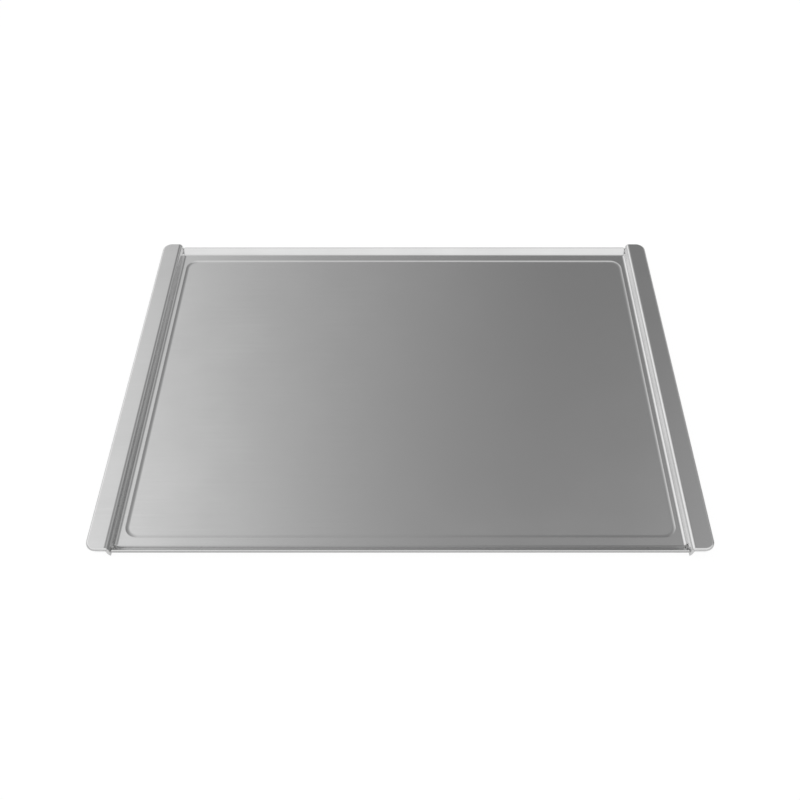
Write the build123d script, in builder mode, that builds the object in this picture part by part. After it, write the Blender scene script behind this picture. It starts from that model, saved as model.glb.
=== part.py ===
from build123d import *
import math
import os

# A folded aluminium baking sheet that slides into an oven on its two side flanges.
# It is cut from one blank. Each formed region of the blank is a solid of its own, and the
# regions meet face to face at the lines where one kind of surface passes into the next.
# Frame: X along the long side, -Y the front, +Z up, origin under the centre of the baking panel.
# An inset is a distance inward from the flanges' outer edges or from the flanges' ends.

# Overall size
OVERALL_WIDTH = 460.0
OVERALL_DEPTH = 330.0
SHEET = 2.0  # thickness of the aluminium
RIM_ROUND_SHARE = 0.85  # rounding of the flanges' and walls' free edges on top, as a share of the thickness
LIP_ROUND_SHARE = 0.4  # rounding of the lips' free edges on top, as a share of the thickness
UNDER_ROUND_SHARE = 0.1  # rounding of all free edges on the underside, as a share of the thickness

# Side walls and the flanges that run on the oven's rails
WALL_DROP = 8.3  # from the top of the flanges down to the top of the border
WALL_LEAN = 10.0  # degrees outward from upright
FLANGE_WIDTH = 14.4  # flat part, from the outer edge to the bend
FLANGE_BEND_RADIUS = 1.2  # inside radius, on the underside
FLANGE_CORNER_RADIUS = 8.0
FLOOR_BEND_RADIUS = 3.2  # inside radius, on the top

# Front and back lips
LIP_INSET = 7.2  # where the border's top and the lip's top would cross if the bend were sharp
LIP_LENGTH = 7.3  # from that crossing up to the edge, along the slope
LIP_ANGLE = 42.0  # degrees above the border
LIP_BEND_RADIUS = 4.0  # inside radius, on the top
LIP_CORNER_RADIUS = 1.5

# Slits that free the lips from the side walls, each opened by a round relief at the lip's bend
SLIT_SETBACK = 3.3  # from the line where the border bends up into the wall, out to the slit's middle
SLIT_WIDTH = 0.3
RELIEF_RADIUS = 1.1
RELIEF_INSET = 6.7  # the relief's middle

# Recessed baking panel, inside a shallow slope that is drawn all round it
RECESS_DEPTH = 0.6
SIDE_BORDER_WIDTH = 2.4  # from the line where the border bends up into the wall to the slope's top crease
END_BORDER_WIDTH = 7.8  # from the crossing at LIP_INSET to the slope's top crease
RECESS_SLOPE_RUN = 1.65  # from the top crease to where the slope would cross the panel, seen from above
RECESS_CORNER_RADIUS = 10.0  # at the top crease
STEP_CREASE_RADIUS = 0.3  # top crease, on the top
STEP_BEND_RADIUS = 0.5  # top crease, on the underside
STEP_FOOT_RADIUS = 6.0  # long hollow curve from the slope into the panel, on the top

CUT_OVERRUN = 5.0  # how far a cut runs past what it cuts

# Heights
border_bottom = RECESS_DEPTH
border_top = border_bottom + SHEET
flange_top = border_top + WALL_DROP
flange_bottom = flange_top - SHEET
wall_foot = border_top + FLOOR_BEND_RADIUS

# Places across the sheet. The wall touches both of its bends, so their centres lie apart by
# both radii across its lean, and by what it leans over the height between the touching points.
half_width = OVERALL_WIDTH / 2
half_depth = OVERALL_DEPTH / 2
lean = math.radians(WALL_LEAN)
bend_radii = FLANGE_BEND_RADIUS + SHEET + FLOOR_BEND_RADIUS
wall_height = flange_bottom - FLANGE_BEND_RADIUS - wall_foot + bend_radii * math.sin(lean)
floor_inset = FLANGE_WIDTH + bend_radii * math.cos(lean) + wall_height * math.tan(lean)
lip_bend_run = LIP_BEND_RADIUS * math.tan(math.radians(LIP_ANGLE) / 2)
lip_root_inset = LIP_INSET + lip_bend_run
lip_rise = math.radians(LIP_ANGLE)
slit_x = half_width - floor_inset + SLIT_SETBACK
lip_root_y = half_depth - lip_root_inset
relief_y = half_depth - RELIEF_INSET

# The slope round the panel, between the outer line where the border's underside starts to bend
# down and the inner line where the panel is flat
slope_angle = math.degrees(math.atan2(RECESS_DEPTH, RECESS_SLOPE_RUN))
slope_half_tangent = math.tan(math.radians(slope_angle / 2))
crease_run = STEP_CREASE_RADIUS * slope_half_tangent
upper_bend_run = (SHEET + STEP_BEND_RADIUS) * slope_half_tangent
foot_run = STEP_FOOT_RADIUS * slope_half_tangent
slope_length = math.hypot(RECESS_SLOPE_RUN, RECESS_DEPTH) - crease_run - foot_run
step_run = upper_bend_run + RECESS_SLOPE_RUN + foot_run
step_half_width = half_width - floor_inset - SIDE_BORDER_WIDTH + upper_bend_run
step_half_depth = half_depth - LIP_INSET - END_BORDER_WIDTH + upper_bend_run
step_corner_radius = RECESS_CORNER_RADIUS + upper_bend_run
panel_half_width = step_half_width - step_run
panel_half_depth = step_half_depth - step_run


def rims(cut_faces, side):
    """Edges where cut faces of the sheet meet its top, for side 1, or its underside, for side -1."""
    cut_edges = [edge for face in cut_faces for edge in face.edges()]
    skin = [face for face in faces() if face not in cut_faces and side * face.normal_at().Z > 0]
    return [edge for face in skin for edge in face.edges() if edge in cut_edges]


# Tools for the cuts at the four corners: the round reliefs, which end where the wall is straight,
# and the ends of the walls' lower bends, where the lips lie
cut_height = wall_foot + CUT_OVERRUN

with BuildSketch(Plane.XY.offset(-CUT_OVERRUN)) as relief_outlines:
    with GridLocations(2 * slit_x, 2 * relief_y, 2, 2):
        Circle(RELIEF_RADIUS)

with BuildSketch(Plane.XY.offset(-CUT_OVERRUN)) as trim_outlines:
    with GridLocations(0, 2 * half_depth, 1, 2):
        Rectangle(2 * slit_x + SLIT_WIDTH, 2 * lip_root_inset)

# Flat recessed panel that the food stands on
with BuildPart() as baking_panel:
    with BuildSketch():
        RectangleRounded(2 * panel_half_width, 2 * panel_half_depth, step_corner_radius - step_run)
    extrude(amount=SHEET)

# Shallow slope drawn round the panel: a crisp crease at the border, a short straight, and a long
# hollow curve into the panel, carried round the rounded corners without a break
with BuildSketch(Plane.XY.offset(border_top)) as step_outline:
    RectangleRounded(2 * step_half_width, 2 * step_half_depth, step_corner_radius)
step_route = step_outline.sketch.wire()
step_heading = step_route % 0
step_section = Plane(origin=step_route @ 0, x_dir=Axis.Z.direction.cross(step_heading), z_dir=step_heading)

with BuildPart() as panel_step:
    with BuildSketch(step_section):
        with BuildLine():
            border_stub = Line((0, 0), (upper_bend_run - crease_run, 0))
            crease = JernArc(border_stub @ 1, (1, 0), STEP_CREASE_RADIUS, -slope_angle)
            slope = PolarLine(crease @ 1, slope_length, -slope_angle)
            foot = JernArc(slope @ 1, slope % 1, STEP_FOOT_RADIUS, slope_angle)
            panel_joint = Line(foot @ 1, foot @ 1 - (0, SHEET))
            foot_below = JernArc(panel_joint @ 1, (-1, 0), STEP_FOOT_RADIUS + SHEET, -slope_angle)
            bend_below = JernArc((0, -SHEET), (1, 0), STEP_BEND_RADIUS, -slope_angle)
            Line(foot_below @ 1, bend_below @ 1)
            Line((0, -SHEET), (0, 0))
        make_face()
    sweep(path=step_route)

# Flat border between the slope and the folds
with BuildPart() as floor_border:
    with BuildSketch(Plane.XY.offset(border_bottom)):
        Rectangle(2 * (half_width - floor_inset), 2 * lip_root_y)
        RectangleRounded(2 * step_half_width, 2 * step_half_depth, step_corner_radius, mode=Mode.SUBTRACT)
    extrude(amount=SHEET)

# Low lip folded up and outward along the front, free of the side walls
with BuildPart() as front_lip:
    with BuildSketch(Plane(origin=(0, -half_depth, 0), x_dir=(0, 1, 0), z_dir=(1, 0, 0))):
        with BuildLine():
            root_bend = JernArc((lip_root_inset, border_top), (-1, 0), LIP_BEND_RADIUS, -LIP_ANGLE)
            PolarLine(root_bend @ 1, LIP_LENGTH - lip_bend_run, 180 - LIP_ANGLE)
            offset(amount=SHEET, side=Side.LEFT)
        make_face()
    extrude(amount=slit_x - SLIT_WIDTH / 2, both=True)
    up_the_slope = Axis((0, 0, 0), (0, -math.cos(lip_rise), math.sin(lip_rise)))
    tip = faces().sort_by(up_the_slope)[-1]
    fillet(tip.edges().filter_by(Axis.X, reverse=True), radius=LIP_CORNER_RADIUS)
    for side, share in ((1, LIP_ROUND_SHARE), (-1, UNDER_ROUND_SHARE)):
        tip = faces().sort_by(up_the_slope)[-1]
        corners = [face for face in faces().filter_by(GeomType.CYLINDER) if tip.distance_to(face) == 0]
        fillet(rims([tip, *corners, *faces().filter_by(Axis.X)], side), radius=share * SHEET)
    extrude(relief_outlines.sketch, amount=cut_height, mode=Mode.SUBTRACT)

with BuildPart() as back_lip:
    mirror(front_lip.part, about=Plane.XZ)

# Side wall with the bend up to the flange and the bend down to the border, full depth
with BuildPart() as left_wall:
    with BuildSketch(Plane(origin=(-half_width, half_depth, 0), x_dir=(1, 0, 0), z_dir=(0, -1, 0))):
        with BuildLine():
            flange_bend_middle = (FLANGE_WIDTH, flange_bottom - FLANGE_BEND_RADIUS)
            flange_bend = CenterArc(flange_bend_middle, FLANGE_BEND_RADIUS + SHEET, 90, WALL_LEAN - 90)
            floor_bend_middle = (floor_inset, wall_foot)
            floor_bend = CenterArc(floor_bend_middle, FLOOR_BEND_RADIUS, 180 + WALL_LEAN, 90 - WALL_LEAN)
            Line(flange_bend @ 1, floor_bend @ 0)
            offset(amount=SHEET, side=Side.RIGHT)
        make_face()
    extrude(amount=OVERALL_DEPTH)
    for side, share in ((1, RIM_ROUND_SHARE), (-1, UNDER_ROUND_SHARE)):
        fillet(rims(faces().filter_by(Axis.Y), side), radius=share * SHEET)
    extrude(trim_outlines.sketch, amount=cut_height, mode=Mode.SUBTRACT)
    extrude(relief_outlines.sketch, amount=cut_height, mode=Mode.SUBTRACT)

with BuildPart() as right_wall:
    mirror(left_wall.part, about=Plane.YZ)

# Flat flange that runs on the oven's rail: rounded outer corners, square where it meets the wall
with BuildPart() as left_flange:
    with BuildSketch(Plane.XY.offset(flange_bottom)):
        with Locations((-half_width, 0)):
            Rectangle(FLANGE_WIDTH, OVERALL_DEPTH, align=(Align.MIN, Align.CENTER))
        fillet(vertices().group_by(Axis.X)[0], radius=FLANGE_CORNER_RADIUS)
    extrude(amount=SHEET)
    for side, share in ((1, RIM_ROUND_SHARE), (-1, UNDER_ROUND_SHARE)):
        wall_joint = faces().sort_by(Axis.X)[-1]
        upright = [face for face in faces() if face.normal_at().Z == 0 and face != wall_joint]
        fillet(rims(upright, side), radius=share * SHEET)

with BuildPart() as right_flange:
    mirror(left_flange.part, about=Plane.YZ)

baking_panel.part.label = "baking_panel"
panel_step.part.label = "panel_step"
floor_border.part.label = "floor_border"
front_lip.part.label = "front_lip"
back_lip.part.label = "back_lip"
left_wall.part.label = "left_wall"
right_wall.part.label = "right_wall"
left_flange.part.label = "left_flange"
right_flange.part.label = "right_flange"

os.makedirs("parts", exist_ok=True)
export_step(baking_panel.part, "parts/baking_panel.step")
export_step(panel_step.part, "parts/panel_step.step")
export_step(floor_border.part, "parts/floor_border.step")
export_step(front_lip.part, "parts/front_lip.step")
export_step(back_lip.part, "parts/back_lip.step")
export_step(left_wall.part, "parts/left_wall.step")
export_step(right_wall.part, "parts/right_wall.step")
export_step(left_flange.part, "parts/left_flange.step")
export_step(right_flange.part, "parts/right_flange.step")
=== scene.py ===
import math

import bpy
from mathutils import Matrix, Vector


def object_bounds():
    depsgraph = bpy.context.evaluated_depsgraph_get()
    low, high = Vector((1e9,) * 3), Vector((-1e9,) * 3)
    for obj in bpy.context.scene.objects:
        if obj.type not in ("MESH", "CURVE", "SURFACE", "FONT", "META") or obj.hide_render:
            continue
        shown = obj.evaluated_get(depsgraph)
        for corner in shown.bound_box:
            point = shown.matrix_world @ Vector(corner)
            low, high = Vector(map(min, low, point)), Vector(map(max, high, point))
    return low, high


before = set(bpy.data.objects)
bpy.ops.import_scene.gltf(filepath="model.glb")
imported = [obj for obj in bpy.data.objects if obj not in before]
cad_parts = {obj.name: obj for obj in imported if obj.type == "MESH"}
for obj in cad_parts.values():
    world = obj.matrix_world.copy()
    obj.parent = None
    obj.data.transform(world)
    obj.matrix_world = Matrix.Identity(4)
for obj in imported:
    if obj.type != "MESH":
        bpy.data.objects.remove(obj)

# A folded aluminium cookie sheet inside a light tent, seen from the front and above.
# Everything is in metres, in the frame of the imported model: X runs along the sheet's long side,
# Y from its front lip to its back lip, and Z up.

cad_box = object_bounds()
MM = 0.001
WHITE = (1, 1, 1, 1)

# A Mix node has several sockets of one name, so its two colours and its result go by number.
MIX_FIRST = 6
MIX_SECOND = 7
MIX_RESULT = 2


def linear(hex_colour):
    """An sRGB hex colour as linear red, green, blue and alpha."""
    channels = [int(hex_colour[i : i + 2], 16) / 255 for i in (0, 2, 4)]
    return [c / 12.92 if c <= 0.04045 else ((c + 0.055) / 1.055) ** 2.4 for c in channels] + [1.0]


def add(tree, kind, settings=None, links=None, stops=()):
    """Adds a node. Settings go to its inputs or properties, links bring a socket to an input, and
    stops are places and grey levels along a ramp. An input goes by its name or its number."""
    node = tree.nodes.new(kind)
    for name, value in (settings or {}).items():
        if isinstance(name, int) or name in node.inputs:
            node.inputs[name].default_value = value
        else:
            setattr(node, name, value)
    for name, socket in (links or {}).items():
        tree.links.new(socket, node.inputs[name])
    for i, (place, level) in enumerate(stops):
        elements = node.color_ramp.elements
        element = elements[i] if i < 2 else elements.new(place)
        element.position = place
        element.color = (level, level, level, 1)
    return node


def new_material(name):
    """An empty node material and its tree."""
    material = bpy.data.materials.new(name)
    material.use_nodes = True
    material.node_tree.nodes.clear()
    return material, material.node_tree


# Camera
# The photograph looks down at about 52 degrees, from in front of the sheet and a little to its
# right, with the lens shifted so that the sheet's sides converge beside the middle of the frame.
CAMERA_PLACE = (0.0118, -0.4736, 0.5771)
CAMERA_LOOK_DOWN = 51.69  # degrees below level
FOCAL_PIXELS = 876.0
FRAME_PIXELS = 800
PRINCIPAL_PIXEL_X = 416.3
SENSOR = 36.0  # its width in millimetres
CLIP_START = 10 * MM


def make_camera():
    """The photograph's viewpoint."""
    data = bpy.data.cameras.new("camera")
    data.sensor_width = SENSOR
    data.lens = FOCAL_PIXELS / FRAME_PIXELS * SENSOR
    data.shift_x = (FRAME_PIXELS / 2 - PRINCIPAL_PIXEL_X) / FRAME_PIXELS
    data.clip_start = CLIP_START
    camera = bpy.data.objects.new("camera", data)
    camera.location = CAMERA_PLACE
    camera.rotation_euler = (math.radians(90 - CAMERA_LOOK_DOWN), 0, 0)
    bpy.context.scene.collection.objects.link(camera)
    bpy.context.scene.camera = camera


# Mill-rolled aluminium sheet
# The rolls leave fine streaks along the blank's long side, X, and the folds carry them up the side
# walls, so they change mostly along Y. They make the metal satin instead of mirror bright.
# Real streaks are under 0.1 mm wide. They are drawn wider here, because finer ones wouldn't show.
ALUMINIUM_BRIGHT = "E9E9E9"
ALUMINIUM_DULL = "E0E0E0"
STREAK_WIDTH = 1.2 * MM
STREAK_LENGTH = 90 * MM
STREAK_DEPTH = 0.004 * MM
STREAK_OCTAVES = 3.0
STREAK_OCTAVE_SHARE = 0.6  # each finer octave's strength, as a share of the one before
STREAK_ROUGHNESS = 0.06  # what the streaks add at most to the satin's roughness
STREAK_TINT = 0.5  # the streaks' weight in the colour, against 1 for the clouds
# The rolling oil and the handling leave broad, faint clouds of slightly duller metal.
CLOUD_SIZE = 55 * MM
CLOUD_OCTAVES = 4.0
SATIN_ROUGHNESS = (0.15, 0.21)
# The spans of noise that run from the brightest metal to the dullest
CLOUD_SPAN = (0.3, 0.7)
MOTTLING_SPAN = (0.45, 1.05)


def rolled_aluminium():
    """Bare mill-rolled aluminium: satin, with fine streaks and faint clouds."""
    material, tree = new_material("mill-rolled aluminium sheet")
    place = add(tree, "ShaderNodeTexCoord").outputs["Object"]
    stretched = add(
        tree,
        "ShaderNodeMapping",
        {"Scale": (1 / STREAK_LENGTH, 1 / STREAK_WIDTH, 1 / STREAK_LENGTH)},
        {"Vector": place},
    ).outputs["Vector"]
    streaks = add(
        tree,
        "ShaderNodeTexNoise",
        {"Scale": 1.0, "Detail": STREAK_OCTAVES, "Roughness": STREAK_OCTAVE_SHARE},
        {"Vector": stretched},
    ).outputs["Fac"]
    clouds = add(
        tree,
        "ShaderNodeTexNoise",
        {"Scale": 1 / CLOUD_SIZE, "Detail": CLOUD_OCTAVES},
        {"Vector": place},
    ).outputs["Fac"]

    satin = add(
        tree,
        "ShaderNodeMapRange",
        {
            "From Min": CLOUD_SPAN[0],
            "From Max": CLOUD_SPAN[1],
            "To Min": SATIN_ROUGHNESS[0],
            "To Max": SATIN_ROUGHNESS[1],
        },
        {"Value": clouds},
    ).outputs["Result"]
    roughness = add(
        tree,
        "ShaderNodeMath",
        {"operation": "MULTIPLY_ADD", 1: STREAK_ROUGHNESS},
        {0: streaks, 2: satin},
    ).outputs["Value"]

    mottling = add(
        tree,
        "ShaderNodeMath",
        {"operation": "MULTIPLY_ADD", 1: STREAK_TINT},
        {0: streaks, 2: clouds},
    ).outputs["Value"]
    dullness = add(
        tree,
        "ShaderNodeMapRange",
        {"From Min": MOTTLING_SPAN[0], "From Max": MOTTLING_SPAN[1]},
        {"Value": mottling},
    ).outputs["Result"]
    bright = linear(ALUMINIUM_BRIGHT)
    dull = linear(ALUMINIUM_DULL)
    colour = add(
        tree,
        "ShaderNodeMix",
        {"data_type": "RGBA", MIX_FIRST: bright, MIX_SECOND: dull},
        {0: dullness},
    ).outputs[MIX_RESULT]

    relief = add(
        tree, "ShaderNodeBump", {"Strength": 1.0, "Distance": STREAK_DEPTH}, {"Height": streaks}
    ).outputs["Normal"]
    surface = add(
        tree,
        "ShaderNodeBsdfPrincipled",
        {"Metallic": 1.0},
        {"Base Color": colour, "Roughness": roughness, "Normal": relief},
    ).outputs["BSDF"]
    add(tree, "ShaderNodeOutputMaterial", links={"Surface": surface})
    return material


# Matt white paper under the sheet
# The paper takes the sheet's shadow, and most of what the camera sees of it is plain white. Under
# the sheet it is left in full shadow, which shows as dark slits and reliefs at the corners.
PAPER = "F3F3F3"
PAPER_SIZE = 12.0
PAPER_GAP = 0.2 * MM  # the paper lies this far below the sheet, so that the two never coincide
PAPER_WHITE = 1.05  # a little over 1, because the share of it that is lit comes out darker
WHITE_SHARE_SEEN = 0.9
WHITE_SHARE_REFLECTED = 0.25  # in the metal's reflections
SHADOW_INSET = (4 * MM, 7 * MM)  # inward from the sheet's outline, from white to full shadow


def make_floor():
    """Paper that is lit by the tent in one share and plain white in the rest."""
    material, tree = new_material("matt white paper")
    paper = add(tree, "ShaderNodeBsdfDiffuse", {"Color": linear(PAPER)}).outputs["BSDF"]
    white = add(
        tree, "ShaderNodeEmission", {"Color": WHITE, "Strength": PAPER_WHITE}
    ).outputs["Emission"]

    rays = add(tree, "ShaderNodeLightPath").outputs
    mirrored = add(
        tree,
        "ShaderNodeMath",
        {"operation": "MAXIMUM"},
        {0: rays["Is Glossy Ray"], 1: rays["Is Transmission Ray"]},
    ).outputs["Value"]
    reflected = add(
        tree,
        "ShaderNodeMath",
        {"operation": "MULTIPLY", 1: WHITE_SHARE_REFLECTED},
        {0: mirrored},
    ).outputs["Value"]
    share = add(
        tree,
        "ShaderNodeMath",
        {"operation": "MULTIPLY_ADD", 1: WHITE_SHARE_SEEN},
        {0: rays["Is Camera Ray"], 2: reflected},
    ).outputs["Value"]

    place = add(tree, "ShaderNodeTexCoord").outputs["Object"]
    axes = add(tree, "ShaderNodeSeparateXYZ", links={"Vector": place}).outputs
    half_width, half_depth, _ = cad_box[1]
    insets = []
    for axis, half in (("X", half_width), ("Y", half_depth)):
        away = add(tree, "ShaderNodeMath", {"operation": "ABSOLUTE"}, {0: axes[axis]})
        inset = add(
            tree, "ShaderNodeMath", {"operation": "SUBTRACT", 0: half}, {1: away.outputs["Value"]}
        )
        insets.append(inset.outputs["Value"])
    nearest = add(
        tree, "ShaderNodeMath", {"operation": "MINIMUM"}, {0: insets[0], 1: insets[1]}
    ).outputs["Value"]
    uncovered = add(
        tree,
        "ShaderNodeMapRange",
        {"From Min": SHADOW_INSET[0], "From Max": SHADOW_INSET[1], "To Min": 1.0, "To Max": 0.0},
        {"Value": nearest},
    ).outputs["Result"]
    whiteness = add(
        tree, "ShaderNodeMath", {"operation": "MULTIPLY"}, {0: share, 1: uncovered}
    ).outputs["Value"]

    surface = add(
        tree, "ShaderNodeMixShader", links={"Fac": whiteness, 1: paper, 2: white}
    ).outputs["Shader"]
    add(tree, "ShaderNodeOutputMaterial", links={"Surface": surface})
    bpy.ops.mesh.primitive_plane_add(size=PAPER_SIZE, location=(0, 0, -PAPER_GAP))
    floor = bpy.context.object
    floor.name = "floor"
    floor.data.materials.append(material)


# Light tent
# A large dome of lit fabric round the sheet. It is brightest on the left and in front, and darker
# behind and to the right, which shades the flat metal from left to right as in the photograph.
TENT_RADIUS = 20.0
TENT_SEGMENTS = 64
TENT_RINGS = 32
# Each level is a pair, a place and the fabric's brightness there. Sideways places run from -1,
# left, to 1, right. Behind the sheet the levels go sideways: along the horizon, low on the dome and
# high on it.
HORIZON_LEVELS = [(-1, 0.6), (-0.35, 0.45), (0, 0.32), (0.35, 0.22), (1, 0.22)]
LOW_LEVELS = [
    (-1, 1.2), (-0.5, 1.2), (-0.3, 0.73), (-0.15, 0.495), (0, 0.375), (0.15, 0.255), (0.3, 0.24),
    (0.5, 0.6), (1, 0.25),
]
HIGH_LEVELS = [
    (-1, 1.3), (-0.5, 1.3), (-0.35, 1.0), (-0.2, 0.6), (-0.1, 0.45), (0, 0.355), (0.12, 0.3),
    (0.25, 0.32), (0.5, 0.62), (1, 0.4),
]
# Arch places run from 0 at the back horizon, over the top at a half, to 1 at the front horizon. In
# front of the sheet the levels go along the arch.
FRONT_LEVELS = [
    (0.4, 0.82), (0.5, 0.98), (0.6, 1.05), (0.7, 1.08), (0.8, 1.05), (0.87, 0.5), (1, 0.45),
]
# Where one set of levels passes into the next
HORIZON_TO_BACK = (0.02, 0.16)  # arch places
BACK_TO_FRONT = (0.36, 0.44)  # arch places
LOW_TO_HIGH = (0.67, 0.87)  # heights on the dome, as shares of its radius
TENT_STRENGTH = 0.89  # of every level, except at the sides
SIDE_STRENGTH = 0.6  # at the far left and right, so that side views keep their shading
SIDE_DIMMING = (0.6, 1.0)  # sideways places, left and right, over which the strength goes down


def make_tent():
    """A lit dome that the metal mirrors and the camera doesn't see."""
    material, tree = new_material("light tent fabric")
    place = add(tree, "ShaderNodeTexCoord").outputs["Object"]
    heading = add(
        tree, "ShaderNodeVectorMath", {"operation": "NORMALIZE"}, {0: place}
    ).outputs["Vector"]
    axes = add(tree, "ShaderNodeSeparateXYZ", links={"Vector": heading}).outputs
    sideways = add(
        tree, "ShaderNodeMapRange", {"From Min": -1.0, "From Max": 1.0}, {"Value": axes["X"]}
    ).outputs["Result"]
    turn = add(
        tree, "ShaderNodeMath", {"operation": "ARCTAN2"}, {0: axes["Z"], 1: axes["Y"]}
    ).outputs["Value"]
    arch = add(
        tree, "ShaderNodeMath", {"operation": "DIVIDE", 1: math.pi}, {0: turn}
    ).outputs["Value"]

    horizon, low, high = [
        add(
            tree,
            "ShaderNodeValToRGB",
            links={"Fac": sideways},
            stops=[((x + 1) / 2, level) for x, level in levels],
        ).outputs["Color"]
        for levels in (HORIZON_LEVELS, LOW_LEVELS, HIGH_LEVELS)
    ]
    front = add(
        tree, "ShaderNodeValToRGB", links={"Fac": arch}, stops=FRONT_LEVELS
    ).outputs["Color"]

    climb = add(
        tree,
        "ShaderNodeMapRange",
        {"From Min": LOW_TO_HIGH[0], "From Max": LOW_TO_HIGH[1]},
        {"Value": axes["Z"]},
    ).outputs["Result"]
    up_from_horizon, over_the_top = [
        add(
            tree,
            "ShaderNodeMapRange",
            {"interpolation_type": "SMOOTHSTEP", "From Min": start, "From Max": end},
            {"Value": arch},
        ).outputs["Result"]
        for start, end in (HORIZON_TO_BACK, BACK_TO_FRONT)
    ]
    back = add(
        tree,
        "ShaderNodeMix",
        {"data_type": "RGBA"},
        {0: climb, MIX_FIRST: low, MIX_SECOND: high},
    ).outputs[MIX_RESULT]
    behind = add(
        tree,
        "ShaderNodeMix",
        {"data_type": "RGBA"},
        {0: up_from_horizon, MIX_FIRST: horizon, MIX_SECOND: back},
    ).outputs[MIX_RESULT]
    all_round = add(
        tree,
        "ShaderNodeMix",
        {"data_type": "RGBA"},
        {0: over_the_top, MIX_FIRST: behind, MIX_SECOND: front},
    ).outputs[MIX_RESULT]

    aside = add(
        tree, "ShaderNodeMath", {"operation": "ABSOLUTE"}, {0: axes["X"]}
    ).outputs["Value"]
    strength = add(
        tree,
        "ShaderNodeMapRange",
        {
            "interpolation_type": "SMOOTHSTEP",
            "From Min": SIDE_DIMMING[0],
            "From Max": SIDE_DIMMING[1],
            "To Min": TENT_STRENGTH,
            "To Max": SIDE_STRENGTH,
        },
        {"Value": aside},
    ).outputs["Result"]
    glow = add(
        tree, "ShaderNodeEmission", links={"Color": all_round, "Strength": strength}
    ).outputs["Emission"]
    add(tree, "ShaderNodeOutputMaterial", links={"Surface": glow})
    # The tent is all round, so rays meet it without its being sampled as a lamp.
    material.cycles.emission_sampling = "NONE"

    bpy.ops.mesh.primitive_uv_sphere_add(
        segments=TENT_SEGMENTS, ring_count=TENT_RINGS, radius=TENT_RADIUS
    )
    tent = bpy.context.object
    tent.name = "light_tent"
    tent.data.materials.append(material)
    tent.visible_camera = False


def make_world():
    """Plain white beyond the paper, for the camera alone, because the tent hides it from the rest."""
    world = bpy.data.worlds.new("white surround")
    bpy.context.scene.world = world
    world.use_nodes = True
    world.node_tree.nodes["Background"].inputs["Color"].default_value = WHITE


make_camera()
bpy.ops.object.select_all(action="DESELECT")
aluminium = rolled_aluminium()
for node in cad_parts.values():
    node.data.materials.clear()
    node.data.materials.append(aluminium)
make_floor()
make_tent()
make_world()
bpy.context.scene.view_settings.view_transform = "Standard"
